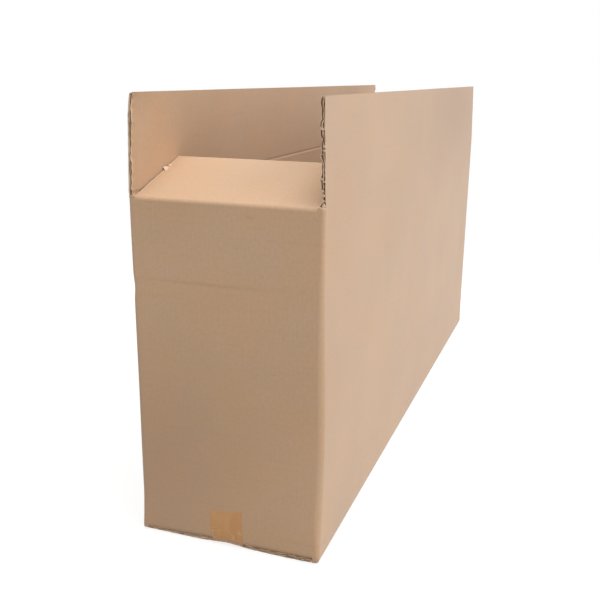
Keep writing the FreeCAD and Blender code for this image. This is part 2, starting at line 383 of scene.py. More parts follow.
def kraft_board():
    """Brown kraft paper: cloudy pulp, fine fibres and flecks and rubbed scuffs, with painted shade
    in patches, along the flutes and on the fluted sheets.
    """
    material, bench = new_material("kraft_board")
    place = bench.node("ShaderNodeAttribute", {"attribute_name": "sheet_place"}, {}, output=1)
    across, up, depth = [
        bench.node("ShaderNodeSeparateXYZ", {}, {0: place}, output=axis) for axis in (0, 1, 2)
    ]
    cloud = bench.noise(place, (1, 1, 60), 6.0, 3.0)
    hue_cloud = bench.noise(place, (1, 1, 60), 13.0, 2.0)
    pulp = bench.noise(place, (1, 1, 1), 210.0, 5.0, 0.62)
    grain = bench.noise(place, (1, 0.35, 1), 1500.0, 3.0, 0.6)
    long_fibre = bench.noise(place, (2.6, 0.30, 1), 620.0, 2.0, 0.5)
    cross_fibre = bench.noise(place, (0.35, 2.2, 1), 560.0, 2.0, 0.5)
    speck = bench.noise(place, (1, 1, 1), 880.0, 1.0, 0.4)
    scuff = bench.noise(place, (1, 22, 1), 5.5, 3.0, 0.6)
    shade_and_lines = 0
    for middle, height, reach, reach_up, strength in SHADE_PATCHES_AND_DARK_LINES:
        aside = (across - middle) / reach
        above = (up - height) / reach_up
        fading = (aside * aside + above * above) * -1
        shade_and_lines = fading.of("EXPONENT") * strength + shade_and_lines

    torn = bench.node("ShaderNodeAttribute", {"attribute_name": "torn"}, {}, output=2)
    fuzz = bench.noise(place, (1, 1, 1), 900.0, 2.0)
    fibres = bench.spread(torn + (fuzz - 0.5) * 0.9, 0.25, 0.75)
    inner_face = depth > BOARD / 2
    fine_wave = (across * (2 * math.pi / FINE_PITCH)).of("SINE")
    coarse_wave = (across * (2 * math.pi / COARSE_PITCH)).of("SINE")
    flute_ridges_and_shade = fine_wave * (1 - inner_face) + coarse_wave * inner_face

    tone = bench.mix(bench.spread(hue_cloud, 0.35, 0.65), KRAFT_WARM, KRAFT_COOL)
    tone = bench.mix(bench.spread(cloud, 0.30, 0.70) * 0.13, tone, KRAFT_DARK)
    tone = bench.mix(bench.spread(pulp, 0.36, 0.66) * 0.12, tone, KRAFT_DARK)
    # Painted shade: the patches darken the paper where less light falls, and the two short lines
    # are darker marks
    tone = bench.mix(shade_and_lines, tone, KRAFT_DARK)
    tone = bench.mix(bench.spread(long_fibre, 0.60, 0.74) * 0.14, tone, KRAFT_PALE)
    tone = bench.mix(bench.spread(cross_fibre, 0.62, 0.76) * 0.12, tone, KRAFT_DARK)
    tone = bench.mix(bench.spread(speck, 0.70, 0.78) * 0.26, tone, KRAFT_DARK)
    tone = bench.mix(bench.spread(scuff, 0.58, 0.76) * 0.15, tone, KRAFT_DARK)
    # Painted shade in faint stripes along the flutes under the liner, over the flutes' own small
    # bump
    tone = bench.mix(bench.spread(flute_ridges_and_shade, -1.0, 1.0) * 0.022, tone, KRAFT_DARK)
    # The fluted sheets are darker brown: partly their own darker medium and partly painted shade
    # that deepens the open slots at the cut ends
    tone = bench.mix(bench.spread(torn * -1, 0.2, 0.8) * 0.85, tone, FLUTE_BROWN_AND_SHADE)
    tone = bench.mix(fibres * 0.85, tone, TORN_PALE)

    rough = 0.58 + grain * 0.16 - bench.spread(scuff, 0.60, 0.80) * 0.06
    relief = pulp * 0.00013 + grain * 0.00004 + long_fibre * 0.00005 + flute_ridges_and_shade * 0.000014
    normal = bench.node("ShaderNodeBump", {}, {"Strength": 0.8, "Distance": 1.0, "Height": relief})
    paper = bench.node(
        "ShaderNodeBsdfPrincipled",
        {},
        {
            "Base Color": tone, "Roughness": rough, "Normal": normal,
            "Specular IOR Level": 0.5, "Sheen Weight": 0.25, "Sheen Roughness": 0.4,
        },
    )
    bench.node("ShaderNodeOutputMaterial", {}, {"Surface": paper})
    return material


kraft = kraft_board()

heights = np.linspace(FOOT_FOLD, WALL_TOP, WALL_ROWS)
band_end = BAND_START[-1]
walls = [
    slab(band_place, band_columns(OPEN_FLUTES, band_end - OPEN_FLUTES), heights, 0, BOARD),
]

# At each corner a narrow post of wall stands between the slots of two flaps, above and below.
# At the near end the lower posts have been squashed down almost to the ground.
toward_end = SIDE - END_ROOT_EDGE
toward_side = END - SIDE_ROOT_EDGE
for corner, before, after, foot in (
    (2, toward_end, toward_side, FOOT),
    (3, toward_side, toward_end, 0.0012),
    (4, toward_end, toward_side, 0.0024),
):
    post = band_columns(BAND_START[corner] - before, BAND_START[corner] + after)
    walls.append(slab(band_place, post, np.linspace(WALL_TOP, POST_TOP, 5), 0, BOARD))
    walls.append(slab(band_place, post, np.linspace(foot, FOOT_FOLD, 4), 0, BOARD))
tab_corner = band_columns(BAND_START[1] - 0.004, BAND_START[1] + toward_end - BOARD)
for low, high in ((WALL_TOP, POST_TOP), (FOOT, FOOT_FOLD)):
    walls.append(slab(band_place, tab_corner, np.linspace(low, high, 5), 0, BOARD))
# Where the flutes are open, at the tab's tip and the raw edge, each liner is a sheet of its own
for outer, inner in PLIES:
    for low, high in ((LINER, OPEN_FLUTES), (band_end - OPEN_FLUTES, band_end)):
        columns = np.linspace(low, high, 5)
        walls.append(slab(band_place, columns, heights, outer, inner))
wall_points, wall_faces, wall_sheet = joined(walls)
at_cut = np.minimum(wall_sheet[:, 0], band_end - wall_sheet[:, 0])
at_slot = np.hypot(wall_sheet[:, 1] - POST_TOP, 0.1 * (wall_sheet[:, 0] - BAND_START[3]))
wall_torn = np.clip(1 - np.minimum(at_cut, at_slot) / 0.0012, 0, 1)
carton_walls = piece_from("carton_walls", wall_points, wall_faces, wall_sheet, wall_torn, kraft)
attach(carton_walls, "carton")
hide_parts("carton_body")


# FLAPS OF THE FLOOR
# Four flaps of the same sheet, folded in at the walls' feet. The two long ones lie lowest and
# meet along the middle; their cut ends show open flutes under the end walls.

PAPER = 0.00025
STEPS_PER_FLUTE = 6

# Depths that part the five plies: liner, fine flutes, liner, coarse flutes, liner
PLY_BOUNDS = (LINER * 1.2, PLIES[1][0] - 1e-5, PLIES[1][1] + 1e-5, BOARD - LINER * 1.2)
MIDDLE_LINER = sum(PLIES[1]) / 2

# At a cut end the outer 8 mm are squeezed and the last 1.6 mm are torn
SQUEEZED_REACH = 0.008
TORN_REACH = 0.0016
FLAKE = 0.00035

# Board rows are kept close together this far either side of a crease
FOLD_ROOM = 0.007


def board_tree():
    """Geometry nodes for a flat piece of double-wall board: three liners and two fluted sheets.

    It lies with its width along X, its depth along Y from 0, and its outer face at Z 0.
    """
    tree = bpy.data.node_groups.new("double_wall_board", "GeometryNodeTree")
    sockets = {}
    for name, kind in (
        ("Width", "Float"), ("Depth", "Float"), ("Columns", "Int"), ("Rows", "Int"),
        ("Flute Rows", "Int"), ("Paper", "Material"),
    ):
        sockets[name] = tree.interface.new_socket(
            name=name, in_out="INPUT", socket_type=f"NodeSocket{kind}"
        )
    tree.interface.new_socket(name="Board", in_out="OUTPUT", socket_type="NodeSocketGeometry")
    bench = Bench(tree)
    given = tree.nodes.new("NodeGroupInput")
    width, depth, columns, rows, flute_rows, paper = [
        Wire(bench, given.outputs[name]) for name in sockets
    ]

    def sheet(across, height, count, row_count, thickness):
        """A closed sheet, from the place across and the height of each point of a plain grid."""
        grid = bench.node(
            "GeometryNodeMeshGrid",
            {},
            {"Size X": width, "Size Y": depth, "Vertices X": count, "Vertices Y": row_count},
        )
        position = bench.node("GeometryNodeInputPosition", {}, {})
        x, y = [bench.node("ShaderNodeSeparateXYZ", {}, {0: position}, output=n) for n in (0, 1)]
        placed = bench.node(
            "ShaderNodeCombineXYZ", {}, {"X": across(x), "Y": y + depth / 2, "Z": height(x)}
        )
        shaped = bench.node("GeometryNodeSetPosition", {}, {"Geometry": grid, "Position": placed})
        straight_up = bench.node("ShaderNodeCombineXYZ", {}, {"Z": thickness})
        raised = bench.node(
            "GeometryNodeExtrudeMesh",
            {"mode": "FACES"},
            {"Mesh": shaped, "Offset": straight_up, "Individual": False},
        )
        under = bench.node("GeometryNodeFlipFaces", {}, {"Mesh": shaped})
        both = bench.node("GeometryNodeJoinGeometry", {}, {"Geometry": [raised, under]})
        return bench.node(
            "GeometryNodeMergeByDistance", {}, {"Geometry": both, "Distance": PAPER / 10}
        )

    def gathered(x):
        """Columns closer together towards both cut ends, where the board is torn."""
        return (x * math.pi / width).of("SINE") * width / 2

    def evenly(x):
        return x

    def flat_at(low):
        return lambda x: low

    def fluted_at(low, flute, pitch):
        return lambda x: low + (flute - PAPER) / 2 * (1 + (x * (2 * math.pi / pitch)).of("SINE"))

    plies = [sheet(gathered, flat_at(low), columns, rows, LINER) for low, _ in PLIES]
    for low, flute, pitch in (
        (PLIES[0][1], FINE_FLUTE, FINE_PITCH),
        (PLIES[1][1], COARSE_FLUTE, COARSE_PITCH),
    ):
        count = (width / pitch).of("ROUND") * STEPS_PER_FLUTE + 1
        plies.append(sheet(evenly, fluted_at(low, flute, pitch), count, flute_rows, PAPER))
    board = bench.node("GeometryNodeJoinGeometry", {}, {"Geometry": plies})
    real = bench.node("GeometryNodeRealizeInstances", {}, {"Geometry": board})
    coloured = bench.node("GeometryNodeSetMaterial", {}, {"Geometry": real, "Material": paper})
    taken = tree.nodes.new("NodeGroupOutput")
    tree.links.new(coloured.socket, taken.inputs["Board"])
    return tree, sockets


double_wall, double_wall_inputs = board_tree()


def cut_board(width, depth, columns, rows, flute_rows):
    """Flat double-wall board as points across, along and into it, with its faces."""
    thing = bpy.data.objects.new("flat_board", bpy.data.meshes.new("flat_board"))
    bpy.context.scene.collection.objects.link(thing)
    nodes = thing.modifiers.new("double_wall", "NODES")
    nodes.node_group = double_wall
    for label, value in (
        ("Width", width), ("Depth", depth), ("Columns", columns), ("Rows", rows),
        ("Flute Rows", flute_rows), ("Paper", kraft),
    ):
        nodes[double_wall_inputs[label].identifier] = value
    graph = bpy.context.evaluated_depsgraph_get()
    mesh = bpy.data.meshes.new_from_object(thing.evaluated_get(graph))
    board = np.zeros(len(mesh.vertices) * 3)
    mesh.vertices.foreach_get("co", board)
    faces = [list(face.vertices) for face in mesh.polygons]
    bpy.data.objects.remove(thing)
    bpy.data.meshes.remove(mesh)
    return board.reshape(-1, 3), faces


def tear_ends(board, past, half_width, opens, seed, tear, pinch):
    """Ragged, squeezed cut ends. Each ply stops short by its own amount.

    tear is how rough the two ends are, low and high along the width. pinch is how far they are
    pressed flat, 0 to 1, each a number or a function of the place past the crease. opens is
    where past the crease the cuts begin.
    """
    across, along, depth = board.T
    clear = np.clip((past - opens) / 0.004, 0, 1)
    ply = np.digitize(depth, PLY_BOUNDS)
    # The skins of each liner that face a flute: between which depths, and the way off the liner,
    # which is either way for the middle one
    into_board = {
        0: (LINER / 2, math.inf, 1),
        2: (-math.inf, math.inf, 0),
        4: (-math.inf, BOARD - LINER / 2, -1),
    }
    for sign, rough, pressed in zip((-1, 1), tear, pinch):
        near_end = np.clip(1 - (half_width - sign * across) / SQUEEZED_REACH, 0, 1) * clear
        frayed = np.clip(1 - (half_width - sign * across) / TORN_REACH, 0, 1) * clear
        start = seed + (0 if sign < 0 else 50)
        fluff = 0.00045 * np.clip(1 + wander(start + 40, along, (0.0062, 0.0031), 1.2), 0.2, 2)
        for index, (above, below, way) in into_board.items():
            side = np.sign(depth - MIDDLE_LINER) if way == 0 else way
            inner_skin = (ply == index) & (depth > above) & (depth < below)
            depth = depth + np.where(inner_skin, frayed * fluff * side * rough, 0)
        for index in range(5):
            ragged = np.abs(wander(start + index, along, (0.061, 0.023, 0.0093), 1))
            fray = np.abs(wander(start + index + 9, along, (0.0041, 0.0027), 1))
            deep = rough * (0.0007 * ragged + 0.0006 * fray)
            if index in (1, 3):
                deep = deep + rough * 0.0012
            if index == 2:
                sunk = np.clip(wander(start + 20, along, (0.083, 0.037), 2.2), 0, 1)
                deep = deep + rough * 0.0012 * sunk
            across = np.where(ply == index, across - sign * near_end * deep, across)
        uneven = 0.34 * wander(start + 30, along, (0.071, 0.031, 0.0127), 1.7)
        pressed = pressed(past) if callable(pressed) else pressed
        squeeze = np.clip(pressed + rough * uneven, 0, 0.80)
        kinks = 0.0021 * wander(start + 31, along, (0.055, 0.024, 0.0111, 0.0056), 1.3)
        middle = 1 - (np.abs(depth - BOARD / 2) / (BOARD / 2)) ** 2
        kinks = np.clip(kinks, -0.0015, 0.0018) * np.clip(middle, 0, 1)
        depth = depth + near_end * (squeeze * (BOARD * 0.08 - depth) + rough * kinks)
    return np.column_stack((across, along, depth))


def torn_flake(end, along, length, low, high, proud, seed):
    """A sliver of liner torn loose at a cut end, from one depth of the board to another."""
    dice = np.random.default_rng(seed)
    taper, bow, slip = dice.uniform(0.3, 0.8), dice.uniform(0.5, 1.0), dice.uniform(-0.4, 0.4)
    if length > 0.02:
        taper, slip = taper * 0.2, 0
    sign = 1 if end > 0 else -1

    def lie(share, run, thick):
        width = length * (1 - taper * share) * (1 + 0.25 * np.sin(9 * share + seed))
        out = proud * np.sin(np.pi * (0.15 + 0.75 * share)) * bow + thick * FLAKE
        return np.column_stack((
            end + sign * (out - 0.0006 * (1 - share) ** 2),
            along + run * width + slip * length * share,
            low + (high - low) * share + 0.0004 * np.sin(7 * run + seed),
        ))

    points, faces, _ = slab(lie, np.linspace(0, 1, 6), np.linspace(-0.5, 0.5, 5), 1, 0)
    if sign * (high - low) < 0:
        faces = faces[:, ::-1]
    return points, faces


def curled_liner(end, along, length, wide, lift, seed):
    """A sliver of the outer liner, torn along a cut end and curling up off the face."""
    sign = 1 if end > 0 else -1

    def lie(share, run, thick):
        ragged = 0.12 * np.sin(5 * run + seed) + 0.06 * np.sin(17 * run + seed)
        return np.column_stack((
            end + sign * wide * (share * (0.9 + ragged) - 0.75),
            along + run * length * (1 - 0.45 * share) + 0.2 * length * share,
            -0.0003 - lift * share ** 2 * (1 + 2 * ragged) + thick * FLAKE,
        ))

    points, faces, _ = slab(lie, np.linspace(0, 1, 7), np.linspace(-0.5, 0.5, 9), 0, 1)
    return points, (faces if sign > 0 else faces[:, ::-1])


def fold_board(
    name, board, faces, flakes, panel, up, crease, crease_at, turn, bend, shape,
    root_half, free_half, opens, seed, tear, pinch, outer_score,
):
    """Stands flat board against a wall and folds it inwards at its crease.

    crease is the height of the fold line and crease_at its distance from the board's start.
    The board is root_half wide to each side below its crease and free_half past it. up is 1
    for a top flap and -1 for one of the floor. turn is how far it folds, and bend half the
    length of board that the fold takes up. shape moves points of the finished flap before the
    whole carton settles. outer_score is how deep the crease is pressed on the outside.
    """
    deepest = board[:, 1].max()
    board[:, 1] = np.interp(
        board[:, 1],
        (0, 0.12 * deepest, 0.42 * deepest, deepest),
        (0, crease_at - min(FOLD_ROOM, 0.75 * crease_at), crease_at + FOLD_ROOM, deepest),
    )
    past = board[:, 1] - crease_at
    cut_half = np.abs(board[:, 0]).max()
    half = np.interp(past, (0, 0.004), (root_half, free_half))
    board[:, 0] *= half / cut_half
    inside = (board[:, 2] > PLY_BOUNDS[0]) & (board[:, 2] < PLY_BOUNDS[-1])
    middle_liner = np.abs(board[:, 2] - MIDDLE_LINER) < LINER * 0.6
    fluted = inside & ~middle_liner
    to_cut = half - np.abs(board[:, 0])
    torn = np.where(fluted, -1.0, np.clip(1.25 - to_cut / TORN_REACH, 0, 1) * (past > opens))
    flat = board.copy()
    board = tear_ends(board, past, half, opens, seed, tear, pinch)
    if flakes:
        bits = [flake if len(flake) == 2 else torn_flake(*flake) for flake in flakes]
        start = len(board)
        for bit_points, bit_faces in bits:
            faces = faces + (bit_faces + start).tolist()
            start += len(bit_points)
        extra = np.concatenate([bit_points for bit_points, _ in bits])
        board = np.concatenate((board, extra))
        flat = np.concatenate((flat, extra))
        torn = np.concatenate((torn, np.ones(len(extra))))
        past = board[:, 1] - crease_at
        inside = np.concatenate((inside, np.zeros(len(extra), bool)))
    across, along, depth = board.T
    radius = 2 * bend / turn
    angle = turn * np.clip((past + bend) / (2 * bend), 0, 1)
    beyond = np.maximum(past - bend, 0)
    before = np.minimum(past + bend, 0)
    inward = radius * (1 - np.cos(angle)) + beyond * math.sin(turn)
    rise = -bend + before + radius * np.sin(angle) + beyond * math.cos(turn)
    from_middle = BOARD / 2 - depth
    flattened = np.where(inside, 0.25, 0.0) * np.clip(1.4 - np.abs(past) / 0.0065, 0, 1)
    score = np.where(from_middle < 0, 0.22, outer_score) * bump(past, 0, 0.0017)
    bead = np.where(from_middle < 0, 0.05, 0.0) * bump(past, -0.0045, 0.0020)
    from_middle = from_middle * (1 - score + bead) * (1 - flattened)
    outward = -inward + from_middle * np.cos(angle)
    rise = rise + from_middle * np.sin(angle)
    across, outward, rise = shape(across, outward, rise, past)
    normal, wall = PANEL_FACES[panel]
    sideways = np.array((normal[1] * up, -normal[0] * up))
    stood = np.outer(across, sideways) + np.outer(outward + wall - BOARD / 2, np.array(normal))
    points = settle(np.column_stack((stood, crease + up * rise)))
    sheet = np.column_stack((PANEL_MIDDLE[panel] + up * flat[:, 0], crease + up * past, flat[:, 2]))
    return piece_from(name, points, faces, sheet, torn, kraft)


# Half the length of board that a floor fold takes up, and the height of its fold line, which
# lays the flap's underside on the ground
FLOOR_BEND = 0.0024
FLOOR_CREASE = BOARD / 2 + FLOOR_BEND * (4 / math.pi - 1)
FLAP_EDGE = 0.004


def floor_lie(across_carton, along_carton):
    """How far the floor's underside stands off the ground: up at the seam and the walls."""
    at_ends = 0.45 + 0.55 * np.clip((np.abs(along_carton) - 0.3) / 0.3, 0, 1)
    seam = 0.0030 * bump(across_carton, 0, 0.028)
    walls_up = 0.0010 * bump(across_carton, -SIDE, 0.035)
    return at_ends * (seam + walls_up)


def lay_side_flap(across, outward, rise, past):
    """A long floor flap lies on the ground, and is lifted where the floor is."""
    on_floor = np.clip(past / 0.02, 0, 1)
    from_middle = SIDE - BOARD / 2 + outward
    return across, outward, rise - on_floor * floor_lie(from_middle, across)


def lay_end_flap(across, outward, rise, past):
    """A short floor flap lies on the long ones and rises and falls with them."""
    on_floor = np.clip(past / 0.02, 0, 1)
    along_carton = END - BOARD / 2 + outward
    return across, outward, rise - on_floor * floor_lie(across, along_carton)


def squashed_left(past):
    """How flat the left floor flap's near end is: thin by the corner, fuller by the seam."""
    return np.interp(past, (0, 0.127), (0.78, 0.36))


def squashed_right(past):
    """The same for the right one, which is fuller by the corner and thinner by the seam."""
    return np.interp(past, (0, 0.060, 0.127), (0.34, 0.40, 0.58))


def lay_near_flap(across, outward, rise, past):
    """As the other end flap, but its fold has sunk to follow the squashed ends below it."""
    lower_edge = np.interp(across, (-SIDE, -0.015, 0.012, 0.030, SIDE),
                           (0.0022, 0.0066, 0.0040, 0.0050, 0.0062))
    straight = FOOT_FOLD - FOOT - FLOOR_CREASE
    at_fold = np.clip((past + straight) / (straight - FLOOR_BEND), 0, 1)
    at_fold = at_fold * np.clip((0.016 - past) / 0.014, 0, 1)
    across, outward, rise = lay_end_flap(across, outward, rise, past)
    return across, outward, rise + at_fold * (FOOT - lower_edge)


# For each floor flap: half its width at the wall and past the fold, the height it lies at and how
# it lies there, its columns, a seed for its tears, and how rough and how flat its two ends are
for panel, root, free, foot, lay, columns, seed, tear, pinch in (
    ("left", SIDE_ROOT_EDGE, END - 0.0024, 0.0, lay_side_flap, 90, 100,
     (1.0, 0.8), (0.30, squashed_left)),
    ("right", SIDE_ROOT_EDGE, END - 0.0018, 0.0, lay_side_flap, 90, 200,
     (0.9, 1.0), (squashed_right, 0.30)),
    ("near", END_ROOT_EDGE, 0.1245, FOOT, lay_near_flap, 30, 300, (0.6, 0.6), (0.3, 0.3)),
    ("far", END_ROOT_EDGE, 0.1245, FOOT, lay_end_flap, 30, 400, (0.6, 0.6), (0.3, 0.3)),
):
    crease_height = foot + FLOOR_CREASE
    wall_part = FOOT_FOLD - crease_height
    depth = wall_part + (SIDE - BOARD / 2 - FLAP_EDGE) + FLOOR_BEND * 0.4
    board, faces = cut_board(2 * root, depth, columns, 40, flute_rows=8)
    flakes = []
    if panel in ("left", "right"):
        dice = np.random.default_rng(seed)
        for end in (-free, free):
            for place in np.arange(0.018, 0.124, 0.024):
                at = wall_part + place + dice.uniform(-0.008, 0.008)
                low, high = (0.0003, 0.0025) if dice.random() < 0.6 else (0.0030, 0.0012)
                flakes.append((
                    end, at, dice.uniform(0.003, 0.006), low, high * dice.uniform(0.6, 1.0),
                    0.0004, int(dice.integers(1000)),
                ))
    # The long slivers and the split that show at the near end, listed one by one
    if panel == "left":
        flakes.append((free, wall_part + 0.042, 0.0210, 0.0006, 0.0022, 0.0007, 61))
        flakes.append((free, wall_part + 0.084, 0.0300, 0.0016, 0.0034, 0.0007, 62))
    if panel == "right":
        flakes.append((-free, wall_part + 0.007, 0.0090, 0.0006, 0.0042, 0.0009, 63))
        flakes.append((-free, wall_part + 0.019, 0.0030, 0.0004, 0.0044, 0.0009, 64))
    flap = fold_board(
        f"floor_flap_{panel}", board, faces, flakes, panel, -1, crease_height, wall_part,
        math.pi / 2, FLOOR_BEND, lay, root, free, 0.001, seed, tear, pinch, outer_score=0.0,
    )
    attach(flap, "carton")


# TAPE
# One strip of brown polypropylene packing tape, 48 mm wide, holds the floor's seam. It is
# pulled round both ends and pressed onto the end walls, where it has been cut off slanted.

tape_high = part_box("bottom_tape")[1]
TAPE_HALF = tape_high.x
TAPE_TOP = tape_high.z
TAPE = 0.00014
TAPE_GLUE = 0.00004
TAPE_TURN = FOOT + 0.0055
TAPE_COLOUR = (0.560, 0.275, 0.098, 1)
TAPE_PALE = (0.680, 0.410, 0.200, 1)
TAPE_WRINKLE_HIGHLIGHT = (0.800, 0.580, 0.370, 1)


def tape_line(along):
    """Place along the carton and height of the tape, from its near end round to its far end."""
    up_wall = TAPE_TOP - TAPE_TURN
    slope = math.hypot(END - RAW_EDGE, TAPE_TURN)
    knots = np.cumsum([0, up_wall, slope, 2 * RAW_EDGE, slope, up_wall])
    y = np.interp(along, knots, (-END, -END, -RAW_EDGE, RAW_EDGE, END, END))
    z = np.interp(along, knots, (TAPE_TOP, TAPE_TURN, 0, 0, TAPE_TURN, TAPE_TOP))
    return y, z, knots


def tape_place(across, along, depth):
    """The strip sits a little askew, with toothed cut ends and small creases at its turns."""
    y, z, _ = tape_line(along)
    up_wall = np.clip(z / TAPE_TOP, 0, 1)
    near = y < 0
    slant = 0.0035 * up_wall ** 3 * across / TAPE_HALF
    z = z + np.where(near, slant, -slant)
    cut = 0.0003 * np.abs(((across / 0.0011) % 2) - 1) * (up_wall > 0.999)
    z = z + cut
    shift = np.where(near, -0.0022 * up_wall - 0.0008, 0.0010 * up_wall)
    x = across * (1 + 0.010 * up_wall) + shift
    on_floor = np.clip(1 - z / TAPE_TURN, 0, 1)
    folds = np.abs(wander(71, across + 0.35 * z, (0.021, 0.0093), 1))
    creased = 0.0005 * folds * bump(z, 0.011, 0.008)
    edge_lift = 0.0003 * bump(np.abs(across), TAPE_HALF, 0.002) * bump(z, 0.052, 0.006)
    outward = depth + creased + edge_lift
    wall_share = np.clip(z / (TAPE_TURN * 0.5), 0, 1)
    y = y + np.sign(y) * outward * wall_share
    z = z - outward * (1 - wall_share) + on_floor * floor_lie(x, y)
    return settle(np.column_stack((x, y, z)))


def packing_tape():
    """Brown film over glue: glossy and smeared, with small blisters, and creased low down, with a
    painted highlight along the creases.
    """
    material, bench = new_material("packing_tape")
    place = bench.node("ShaderNodeTexCoord", {}, {}, output=3)
    smear = bench.noise(place, (1, 1, 0.25), 60.0, 3.0)
    line = bench.noise(place, (14, 1, 0.8), 22.0, 3.0, 0.6)
    blister = bench.noise(place, (1, 1, 1), 260.0, 2.0)
    tone = bench.mix(bench.spread(smear, 0.35, 0.70) * 0.34, TAPE_COLOUR, TAPE_PALE)
    tone = bench.mix(bench.spread(blister, 0.62, 0.74) * 0.22, tone, TAPE_PALE)
    height = bench.node("ShaderNodeSeparateXYZ", {}, {0: place}, output=2)
    folds = bench.noise(place, (1, 1, 1.3), 52.0, 1.0)
    off_fold = (folds - 0.5).of("ABSOLUTE")
    low_down = 1 - bench.spread(height, 0.016, 0.034)
    wrinkles_and_highlight = (1 - bench.spread(off_fold, 0.004, 0.022)) * low_down
    # Painted highlight: pale lines along the wrinkles low down, where the creased film catches the
    # light
    tone = bench.mix(wrinkles_and_highlight * 0.45, tone, TAPE_WRINKLE_HIGHLIGHT)
    rough = 0.30 + bench.spread(smear, 0.3, 0.7) * 0.14
    relief = line * 0.00018 + blister * 0.00008 + wrinkles_and_highlight * 0.00015
    normal = bench.node("ShaderNodeBump", {}, {"Strength": 0.8, "Distance": 1.0, "Height": relief})
    film = bench.node(
        "ShaderNodeBsdfPrincipled",
        {},
        {"Base Color": tone, "Roughness": rough, "Normal": normal, "Specular IOR Level": 0.45},
    )
    bench.node("ShaderNodeOutputMaterial", {}, {"Surface": film})
    return material


knots = tape_line(np.zeros(1))[2]
near_end = np.linspace(0, knots[2] + 0.01, 60)
under_floor = np.linspace(knots[2] + 0.02, knots[3] - 0.02, 40)
strip_along = np.concatenate((near_end, under_floor, knots[-1] - near_end[::-1]))
strip_across = np.linspace(-TAPE_HALF, TAPE_HALF, 31)
tape_points, tape_faces, tape_sheet = slab(
    tape_place, strip_across, strip_along, TAPE_GLUE, TAPE_GLUE + TAPE
)
bottom_tape = piece_from(
    "bottom_tape_strip", tape_points, tape_faces[:, ::-1].tolist(), tape_sheet,
    np.zeros(len(tape_points)), packing_tape(),
)
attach(bottom_tape, "carton")
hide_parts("bottom_tape")


# TOP FLAPS
# Four flaps of the same sheet, each folded at its crease. The long ones stand up and lean in a
# little, the short ones are folded part-way down. Their side edges were slotted and are torn.

FLAP_DEPTH = SIDE - BOARD / 2 - FLAP_EDGE
END_FLAP_BASE = 0.1268
END_FLAP_TIP = 0.1252
END_FLAP_TURN = math.radians(90 - 19)
LEFT_LEAN = math.radians(2.0)
RIGHT_LEAN = math.radians(1.8)

# How far to each side of its hinge line hinge_ends puts the ends of a top crease's bend
HINGE_REACH = 0.007


def shape_left(across, outward, rise, past):
    """Bows a little along its length, and its near top corner is knocked inwards."""
    up = np.clip(past / FLAP_DEPTH, 0, 1)
    bow = 0.0016 * up * np.sin(2.4 * np.pi * across / END + 1.2)
    knocked = 0.0030 * np.clip((up - 0.72) / 0.28, 0, 1) ** 2 * bump(across, -RAW_EDGE, 0.05)
    worn = 0.0011 * bump(across, -RAW_EDGE, 0.004) * bump(up, 1.0, 0.03)
    return across, outward - bow - knocked, rise - worn


def shape_right(across, outward, rise, past):
    """Bows too, and its near top corner is worn. Its near end is at the high side of across."""
    up = np.clip(past / FLAP_DEPTH, 0, 1)
    bow = 0.0014 * up * np.sin(2.1 * np.pi * -across / END - 0.4)
    worn = 0.0012 * bump(-across, -RAW_EDGE, 0.004) * bump(up, 1.0, 0.03)
    return across, outward - bow, rise - worn


def shape_end(across, outward, rise, past):
    """Narrows a little towards its free edge, and its middle lifts a hair."""
    up = np.clip(past / FLAP_DEPTH, 0, 1)
    narrowing = 1 - (1 - END_FLAP_TIP / END_FLAP_BASE) * up
    lift = 0.0010 * np.cos(np.pi * across / (2 * END_FLAP_BASE)) * np.sin(np.pi * up)
    return across * narrowing, outward, rise + lift


def hinge_ends(panel, crease, turn):
    """Where the bend at a top crease starts and ends, either side of its hinge line."""
    normal, wall = PANEL_FACES[panel]
    base = [(wall - BOARD / 2) * each for each in normal]
    start = (base[0], base[1], crease - HINGE_REACH)
    step = [-HINGE_REACH * math.sin(turn) * each for each in normal]
    end = (base[0] + step[0], base[1] + step[1], crease + HINGE_REACH * math.cos(turn))
    return start, end


def crushed_shut(past):
    """How flat the right flap's near end is: most of all where it starts, at the crease."""
    return np.interp(past, (0, 0.018, 0.045), (0.74, 0.36, 0.16))


def crushed_left(past):
    """The same for the left flap's near end, which is flat along its whole height."""
    return np.interp(past, (-0.004, 0.012), (0.62, 0.34))


